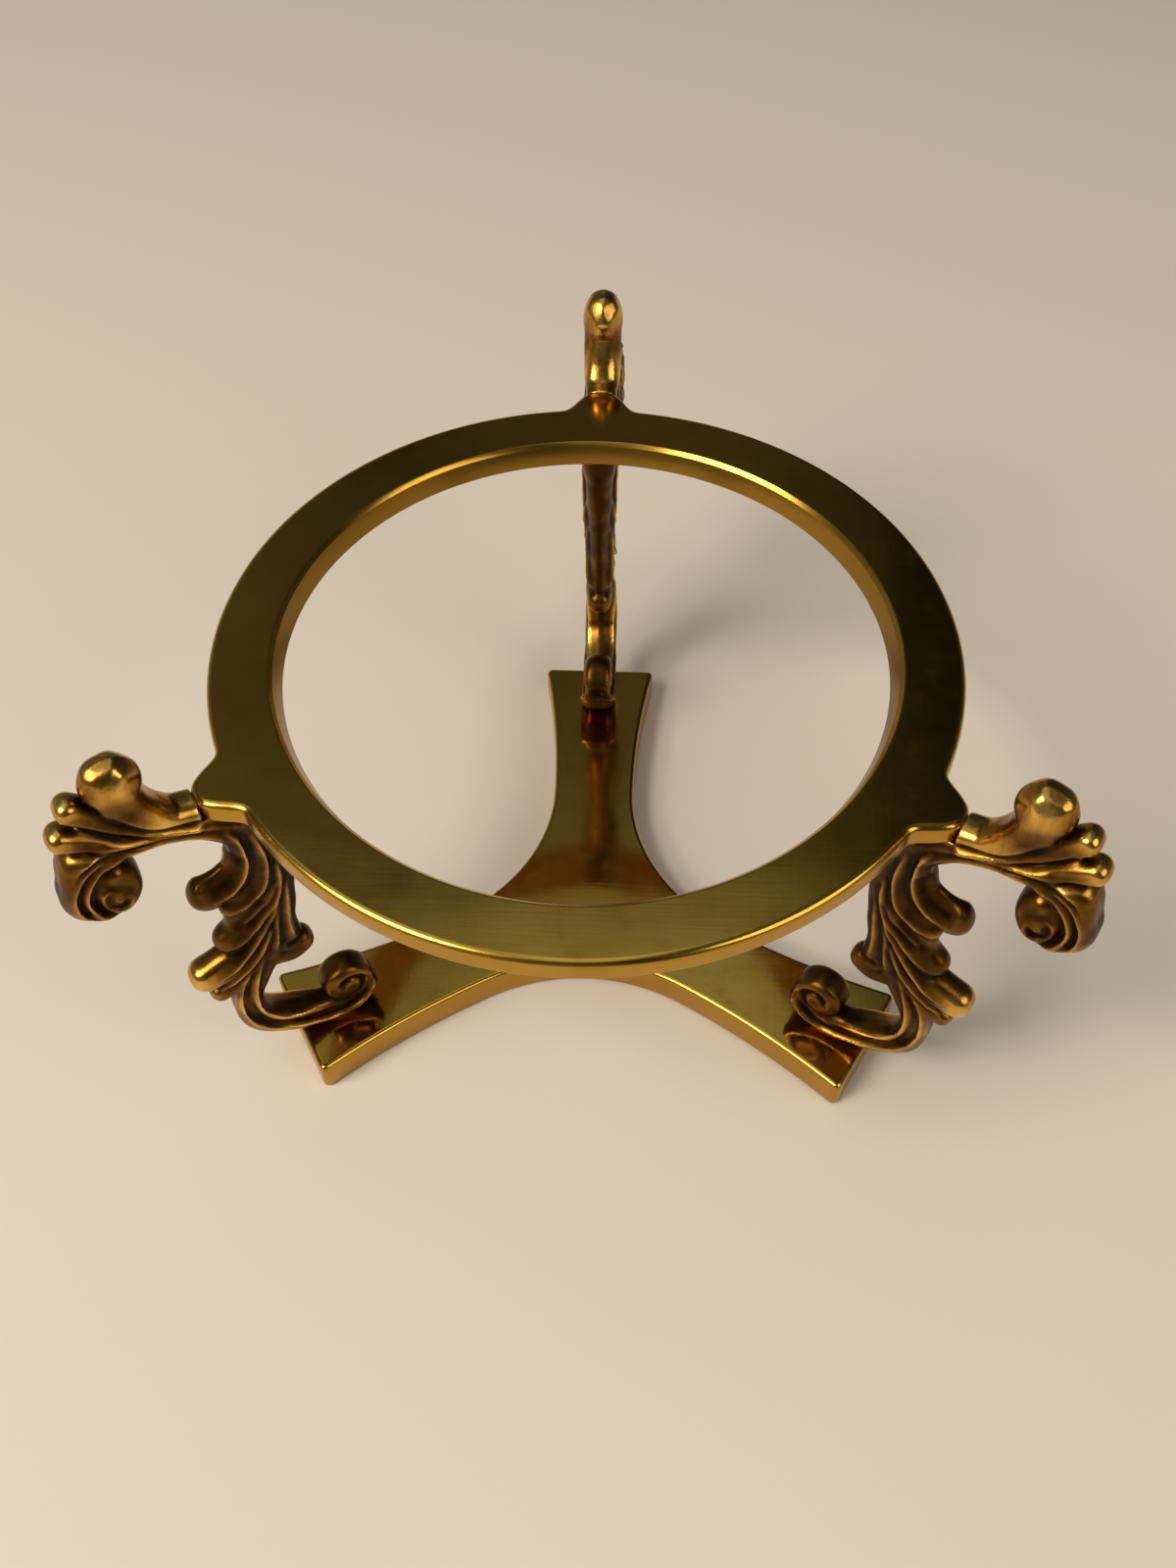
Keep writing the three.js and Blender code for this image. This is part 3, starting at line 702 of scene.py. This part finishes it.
def leg_mesh():
    """Vertices in millimetres, faces, and the shares of wear and of polished and painted-highlight brightness
    of one leg along +X.
    """
    field, corner = leg_field()
    vertices, faces = surface_net(field)
    slopes = np.gradient(field)
    for _ in range(SNAP_ROUNDS):
        slope = np.column_stack([sampled(values, vertices) for values in slopes])
        steep = np.maximum((slope ** 2).sum(axis=1), LEAST_STEEPNESS)
        step = sampled(field, vertices)[:, None] * slope / steep[:, None]
        vertices = vertices - np.clip(step, -SNAP_LIMIT, SNAP_LIMIT)
    level = np.clip(field, -LEVEL_LIMIT, LEVEL_LIMIT)
    fine = sampled(box_blurred(level, round(FINE_REACH / LEG_CELL)), vertices)
    broad = sampled(box_blurred(level, round(BROAD_REACH / LEG_CELL)), vertices)
    wear = np.clip(FLAT_WEAR + FINE_WEAR * fine + BROAD_WEAR * broad, 0, 1)
    places = vertices * LEG_CELL + corner
    slope = np.column_stack([sampled(values, vertices) for values in slopes])
    facing = slope / np.maximum(np.linalg.norm(slope, axis=1), SMALL)[:, None]
    # Brighter where the arm faces inwards, as polish, and where it faces upwards, as a painted highlight
    inner_polish_and_top_highlight = np.clip(np.maximum(-facing[:, 0], facing[:, 2]), 0, 1) * (1 - np.abs(facing[:, 1]))
    polish_and_painted_highlight = ARM_POLISH_AND_HIGHLIGHT * inner_polish_and_top_highlight * np.interp(places[:, 2] - BASE_TOP, ARM_POLISH_AND_HIGHLIGHT_UP, (0, 1))
    for out, up, reach, share in LEG_BRIGHT_SPOTS:
        polish_and_painted_highlight = np.maximum(polish_and_painted_highlight, share * nearness(places, out, up, reach))
    for out, up, reach, gain in LEG_TONES:
        wear = wear + gain * nearness(places, out, up, reach)
    return places, faces, np.clip(wear, 0, 1), polish_and_painted_highlight


def make_legs(material):
    places, faces, wear, polish_and_painted_highlight = leg_mesh()
    for side, azimuth in LEG_AZIMUTHS.items():
        piece = new_piece(f"acanthus_leg_{side}", turned(places, azimuth), faces.tolist(), material,
                          f"leg_{side}")
        for name, values in (("wear", wear), ("polish_and_painted_highlight", polish_and_painted_highlight)):
            attribute = piece.data.attributes.new(name, "FLOAT", "POINT")
            attribute.data.foreach_set("value", values.astype(np.float32))


# Materials. Colours are linear, stops are (place, value), and bumps are (strength, height in metres).

# Polished brass: its clouds, its tarnish, and painted shade on the faces that turn away from the top
BRASS_CLOUDS = [(0.3, (0.46, 0.26, 0.035)), (0.55, (0.55, 0.32, 0.046)), (0.75, (0.60, 0.37, 0.07))]
BRASS_TARNISH = (0.33, 0.18, 0.03)
BRASS_TARNISH_STOPS = [(0.55, 0.0), (0.8, 0.35)]
# Painted shade: the colour of the walls, mixed in by a share wherever a face is not the flat top
BRASS_WALL_PAINTED_SHADE = (0.40, 0.20, 0.015)
BRASS_WALL_SHADE_SHARE = 0.3
# Painted shade on the undersides of the ring and the base
BRASS_UNDERSIDE_PAINTED_SHADE = (0.22, 0.12, 0.018)
# Painted shade on the ring's inner wall
BRASS_INNER_WALL_PAINTED_SHADE = (0.30, 0.17, 0.025)
BRASS_TOP_ROUGHNESS = [(0.3, 0.08), (0.55, 0.12), (0.8, 0.24)]
BRASS_WALL_ROUGHNESS = (0.26, 0.26, 0.26)
# The way a face looks, from which it counts as inner wall, as flat top or as underside. The inner wall, the
# underside and every face but the flat top get painted shade
INNER_WALL_STOPS = [(0.78, 0.0), (0.9, 1.0)]
FLAT_TOP_STOPS = [(0.55, 0.0), (0.97, 1.0)]
UNDERSIDE_STOPS = [(0.6, 0.0), (0.9, 1.0)]
# Marks of the polished brass, in cells per metre
CLOUD_SCALE = 45
SMUDGE_SCALE = 160
SMUDGE_ROUGHNESS = 0.65
SCRATCH_SCALE = 900
SCRATCH_STRETCH = (0.08, 1.6, 1.0)
SCRATCH_BUMP = (0.03, 0.0002)
CROSS_SCRATCH_SCALE = 700
CROSS_SCRATCH_STRETCH = (1.4, 0.07, 1.0)
CROSS_SCRATCH_BUMP = (0.02, 0.0002)
RIPPLE_SCALE = 60
RIPPLE_BUMP = (0.12, 0.001)

# Cast brass: its tones from the hollows to the filed tips, and its marks in cells per metre
CAST_TONES = [
    (0.08, (0.018, 0.007, 0.0012)),
    (0.31, (0.080, 0.034, 0.005)),
    (0.53, (0.23, 0.105, 0.015)),
    (0.78, (0.56, 0.31, 0.060)),
    (1.00, (0.84, 0.55, 0.14)),
]
CAST_ROUGHNESS = [(0.1, 0.50), (0.45, 0.30), (0.95, 0.2)]
NOISE_MIDDLE = 0.5
PATCH_SCALE = 220
PATCH_SHARE = 0.55
POLISH_AND_HIGHLIGHT_SHARE = 0.55
GRAIN_SCALE = 1700
GRAIN_BUMP = (0.12, 0.0002)
FILE_SCALE = 1300
FILE_STRETCH = (1.0, 1.0, 0.1)
FILE_SHARE = 0.3
FILE_BUMP = (0.2, 0.0003)

# Turned brass of the pins and screws
FASTENER_TONES = [(0.3, (0.36, 0.23, 0.08)), (0.7, (0.66, 0.47, 0.18))]
FASTENER_ROUGHNESS = [(0.3, 0.5), (0.7, 0.3)]
FASTENER_SPOT_SCALE = 900
FASTENER_BUMP = (0.1, 0.0002)


def node_tree(name):
    material = bpy.data.materials.new(name)
    material.use_nodes = True
    tree = material.node_tree
    return material, tree, tree.nodes["Principled BSDF"]


def add(tree, kind, inputs=None, **settings):
    """A node with its settings, and its inputs set to values or linked to other sockets."""
    node = tree.nodes.new(kind)
    for key, value in settings.items():
        setattr(node, key, value)
    for key, value in (inputs or {}).items():
        if isinstance(value, bpy.types.NodeSocket):
            tree.links.new(value, node.inputs[key])
        else:
            node.inputs[key].default_value = value
    return node


def ramp(tree, factor, stops):
    """A colour ramp, with each stop's value as a colour or as one grey level."""
    node = add(tree, "ShaderNodeValToRGB", {"Fac": factor})
    elements = node.color_ramp.elements
    while len(elements) < len(stops):
        elements.new(1)
    for element, (position, colour) in zip(elements, stops):
        element.position = position
        element.color = (*colour, 1) if isinstance(colour, tuple) else (colour, colour, colour, 1)
    return node.outputs["Color"]


def noise(tree, coordinates, scale, detail=4, stretch=None, roughness=0.55):
    """Noise of about scale cells per metre, drawn out along an axis by a stretch of its coordinates."""
    if stretch:
        mapping = add(tree, "ShaderNodeMapping", {"Vector": coordinates, "Scale": stretch})
        coordinates = mapping.outputs["Vector"]
    inputs = {"Vector": coordinates, "Scale": scale, "Detail": detail, "Roughness": roughness}
    return add(tree, "ShaderNodeTexNoise", inputs).outputs["Fac"]


def maths(tree, operation, *values):
    node = add(tree, "ShaderNodeMath", dict(enumerate(values)), operation=operation)
    return node.outputs["Value"]


def mixed(tree, factor, first, second, blend="MIX"):
    """A mix of two colours, given as sockets or as plain colours."""
    node = add(tree, "ShaderNodeMix", data_type="RGBA", blend_type=blend)
    for socket, value in ((node.inputs[0], factor), (node.inputs[6], first), (node.inputs[7], second)):
        if isinstance(value, bpy.types.NodeSocket):
            tree.links.new(value, socket)
        else:
            socket.default_value = (*value, 1) if isinstance(value, tuple) else value
    return node.outputs[2]


def bump(tree, height, strength, distance, normal=None):
    inputs = {"Height": height, "Strength": strength, "Distance": distance}
    if normal:
        inputs["Normal"] = normal
    return add(tree, "ShaderNodeBump", inputs).outputs["Normal"]


def finish_metal(tree, shader, colour, roughness, normal):
    """Links a metal's colour, roughness and normal to its shader."""
    tree.links.new(colour, shader.inputs["Base Color"])
    tree.links.new(roughness, shader.inputs["Roughness"])
    tree.links.new(normal, shader.inputs["Normal"])
    shader.inputs["Metallic"].default_value = 1.0


def polished_brass():
    """Hand-polished sheet brass: slow ripples, smudges, brown tarnish clouds, fine straight scratches, and
    painted shade on its walls, underside and inner wall.
    """
    material, tree, shader = node_tree("polished_brass")
    place = add(tree, "ShaderNodeTexCoord").outputs["Object"]
    clouds = noise(tree, place, CLOUD_SCALE, 5)
    smudge = noise(tree, place, SMUDGE_SCALE, 6, roughness=SMUDGE_ROUGHNESS)
    scratch = noise(tree, place, SCRATCH_SCALE, 3, stretch=SCRATCH_STRETCH)
    cross_scratch = noise(tree, place, CROSS_SCRATCH_SCALE, 3, stretch=CROSS_SCRATCH_STRETCH)
    ripple = noise(tree, place, RIPPLE_SCALE, 1)
    facing = add(tree, "ShaderNodeNewGeometry").outputs["Normal"]
    flat_place = add(tree, "ShaderNodeVectorMath", {0: place, 1: (1.0, 1.0, 0.0)}, operation="MULTIPLY")
    outward = add(tree, "ShaderNodeVectorMath", {0: flat_place.outputs["Vector"]}, operation="NORMALIZE")
    inputs = {0: outward.outputs["Vector"], 1: facing}
    turned_out = add(tree, "ShaderNodeVectorMath", inputs, operation="DOT_PRODUCT").outputs["Value"]
    inner_wall = ramp(tree, maths(tree, "MULTIPLY", turned_out, -1.0), INNER_WALL_STOPS)
    upright = add(tree, "ShaderNodeSeparateXYZ", {"Vector": facing}).outputs["Z"]
    flat_top = ramp(tree, upright, FLAT_TOP_STOPS)
    underside = ramp(tree, maths(tree, "MULTIPLY", upright, -1.0), UNDERSIDE_STOPS)
    colour = ramp(tree, clouds, BRASS_CLOUDS)
    colour = mixed(tree, ramp(tree, smudge, BRASS_TARNISH_STOPS), colour, BRASS_TARNISH)
    # Painted shade on every face but the flat top
    colour = mixed(tree, flat_top, mixed(tree, BRASS_WALL_SHADE_SHARE, colour, BRASS_WALL_PAINTED_SHADE), colour)
    # Painted shade on faces that turn downwards
    colour = mixed(tree, underside, colour, BRASS_UNDERSIDE_PAINTED_SHADE)
    # Painted shade on faces that turn towards the middle
    colour = mixed(tree, inner_wall, colour, BRASS_INNER_WALL_PAINTED_SHADE)
    roughness = mixed(tree, flat_top, BRASS_WALL_ROUGHNESS, ramp(tree, smudge, BRASS_TOP_ROUGHNESS))
    normal = bump(tree, ripple, *RIPPLE_BUMP)
    normal = bump(tree, scratch, *SCRATCH_BUMP, normal)
    normal = bump(tree, cross_scratch, *CROSS_SCRATCH_BUMP, normal)
    finish_metal(tree, shader, colour, roughness, normal)
    return material


def cast_brass():
    """Cast brass with brown hollows, coppery worn ridges, filed bright tips and a painted highlight on the
    arms' upward faces.
    """
    material, tree, shader = node_tree("cast_brass")
    place = add(tree, "ShaderNodeTexCoord").outputs["Object"]
    wear = add(tree, "ShaderNodeAttribute", attribute_name="wear").outputs["Fac"]
    polish_and_painted_highlight = add(tree, "ShaderNodeAttribute", attribute_name="polish_and_painted_highlight").outputs["Fac"]
    patches = maths(tree, "SUBTRACT", noise(tree, place, PATCH_SCALE, 5), NOISE_MIDDLE)
    grain = noise(tree, place, GRAIN_SCALE, 4)
    files = maths(tree, "SUBTRACT", noise(tree, place, FILE_SCALE, 2, stretch=FILE_STRETCH), NOISE_MIDDLE)
    filed = maths(tree, "MULTIPLY", files, polish_and_painted_highlight)
    shade = maths(tree, "ADD", wear, maths(tree, "MULTIPLY", patches, PATCH_SHARE))
    # Brightened by polished spots, and by the painted highlight on the arms' upward faces
    shade = maths(tree, "ADD", shade, maths(tree, "MULTIPLY", polish_and_painted_highlight, POLISH_AND_HIGHLIGHT_SHARE))
    shade = maths(tree, "ADD", shade, maths(tree, "MULTIPLY", filed, FILE_SHARE))
    normal = bump(tree, grain, *GRAIN_BUMP)
    normal = bump(tree, filed, *FILE_BUMP, normal)
    finish_metal(tree, shader, ramp(tree, shade, CAST_TONES), ramp(tree, shade, CAST_ROUGHNESS), normal)
    return material


def fastener_brass():
    """Turned brass of the pins and screws, dull and a little dark."""
    material, tree, shader = node_tree("fastener_brass")
    place = add(tree, "ShaderNodeTexCoord").outputs["Object"]
    spots = noise(tree, place, FASTENER_SPOT_SCALE, 5)
    colour = ramp(tree, spots, FASTENER_TONES)
    roughness = ramp(tree, spots, FASTENER_ROUGHNESS)
    finish_metal(tree, shader, colour, roughness, bump(tree, spots, *FASTENER_BUMP))
    return material


# Stage, light and camera

FLOOR_COLOUR = (0.70, 0.61, 0.50, 1)
FLOOR_ROUGHNESS = 0.7
FLOOR_SPECULAR = 0.2
FLOOR_HALF_SIZE = 4.0
# Lamps as place, size, power and colour, all turned to the middle of the stand
LAMP_TARGET = (0, 0, 0.04)
LAMPS = {
    "key": ((-0.75, -0.50, 0.95), 0.7, 16.0, (1.0, 0.95, 0.86)),
    "fill": ((0.90, -0.55, 0.75), 0.9, 5.0, (1.0, 0.95, 0.88)),
}
# Colour of the studio's walls and ceiling by height, and their brightness from left to right
STUDIO_BY_HEIGHT = [
    (0.0, (0.16, 0.15, 0.14)),
    (0.30, (0.24, 0.23, 0.22)),
    (0.55, (0.07, 0.07, 0.07)),
    (0.72, (0.10, 0.105, 0.11)),
    (0.80, (0.15, 0.16, 0.175)),
    (0.85, (0.46, 0.52, 0.60)),
    (0.93, (0.80, 0.81, 0.82)),
    (1.0, (1.0, 0.98, 0.95)),
]
STUDIO_BY_SIDE = [
    (0.35, 1.0), (0.42, 0.5), (0.465, 0.8), (0.53, 0.8), (0.57, 0.45), (0.585, 0.14), (0.65, 0.14),
    (0.8, 0.30),
]
STUDIO_STRENGTH = 1.0


def make_floor():
    material, _, shader = node_tree("pale_floor")
    shader.inputs["Base Color"].default_value = FLOOR_COLOUR
    shader.inputs["Roughness"].default_value = FLOOR_ROUGHNESS
    shader.inputs["Specular IOR Level"].default_value = FLOOR_SPECULAR
    mesh = bpy.data.meshes.new("floor")
    corners = [(x * FLOOR_HALF_SIZE, y * FLOOR_HALF_SIZE, 0) for x, y in ((-1, -1), (1, -1), (1, 1), (-1, 1))]
    mesh.from_pydata(corners, [], [(0, 1, 2, 3)])
    mesh.materials.append(material)
    floor = bpy.data.objects.new("floor", mesh)
    bpy.context.scene.collection.objects.link(floor)


def add_lamp(name, place, size, power, colour):
    lamp = bpy.data.lights.new(name, "AREA")
    lamp.shape = "DISK"
    lamp.size = size
    lamp.energy = power
    lamp.color = colour
    holder = bpy.data.objects.new(name, lamp)
    holder.location = place
    holder.rotation_euler = (Vector(LAMP_TARGET) - Vector(place)).to_track_quat("-Z", "Y").to_euler()
    bpy.context.scene.collection.objects.link(holder)


def make_light():
    for name, settings in LAMPS.items():
        add_lamp(name, *settings)
    world = bpy.data.worlds.new("studio")
    world.use_nodes = True
    tree = world.node_tree
    direction = add(tree, "ShaderNodeTexCoord").outputs["Generated"]
    axes = add(tree, "ShaderNodeSeparateXYZ", {"Vector": direction})
    by_height = ramp(tree, axes.outputs["Z"], STUDIO_BY_HEIGHT)
    side = maths(tree, "MULTIPLY_ADD", axes.outputs["X"], 0.5, 0.5)
    colour = mixed(tree, 1.0, by_height, ramp(tree, side, STUDIO_BY_SIDE), "MULTIPLY")
    background = tree.nodes["Background"]
    tree.links.new(colour, background.inputs["Color"])
    background.inputs["Strength"].default_value = STUDIO_STRENGTH
    bpy.context.scene.world = world


# The photograph's view, found from the ring, the base and the legs.
# Its lengths are shares of the ring's radius.
IMAGE_HEIGHT = 1600
FOCAL_PIXELS = 1571.3
SENSOR_HEIGHT = 36.0
CAMERA_AZIMUTH = 0.0507
CAMERA_ELEVATION = math.radians(51.24)
CAMERA_DISTANCE = 4.720
CAMERA_ROLL = -0.0102
CAMERA_CLIP_START = 0.01
CAMERA_TARGET = (-0.0034, 0.1038, 0.5623)


def make_camera():
    camera = bpy.data.cameras.new("camera")
    camera.sensor_fit = "VERTICAL"
    camera.sensor_height = SENSOR_HEIGHT
    camera.lens = FOCAL_PIXELS / IMAGE_HEIGHT * SENSOR_HEIGHT
    camera.clip_start = CAMERA_CLIP_START
    flat = math.cos(CAMERA_ELEVATION)
    rise = math.sin(CAMERA_ELEVATION)
    away = Vector((flat * math.sin(CAMERA_AZIMUTH), -flat * math.cos(CAMERA_AZIMUTH), rise))
    right = (-away).cross(Vector((0, 0, 1))).normalized()
    up = right.cross(-away)
    roll = Matrix.Rotation(CAMERA_ROLL, 3, away)
    axes = Matrix((roll @ right, roll @ up, away)).transposed()
    place = RING_RADIUS * MM * (Vector(CAMERA_TARGET) + CAMERA_DISTANCE * away)
    holder = bpy.data.objects.new("camera", camera)
    holder.matrix_world = Matrix.Translation(place) @ axes.to_4x4()
    bpy.context.scene.collection.objects.link(holder)
    bpy.context.scene.camera = holder


brass = polished_brass()
make_ring(brass)
make_base(brass)
make_legs(cast_brass())
fasteners = fastener_brass()
for side in LEG_AZIMUTHS:
    for node in (f"ring_pin_{side}", f"base_screw_{side}"):
        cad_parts[node].data.materials.clear()
        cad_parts[node].data.materials.append(fasteners)
make_floor()
make_light()
make_camera()
bpy.context.scene.view_settings.view_transform = "Standard"
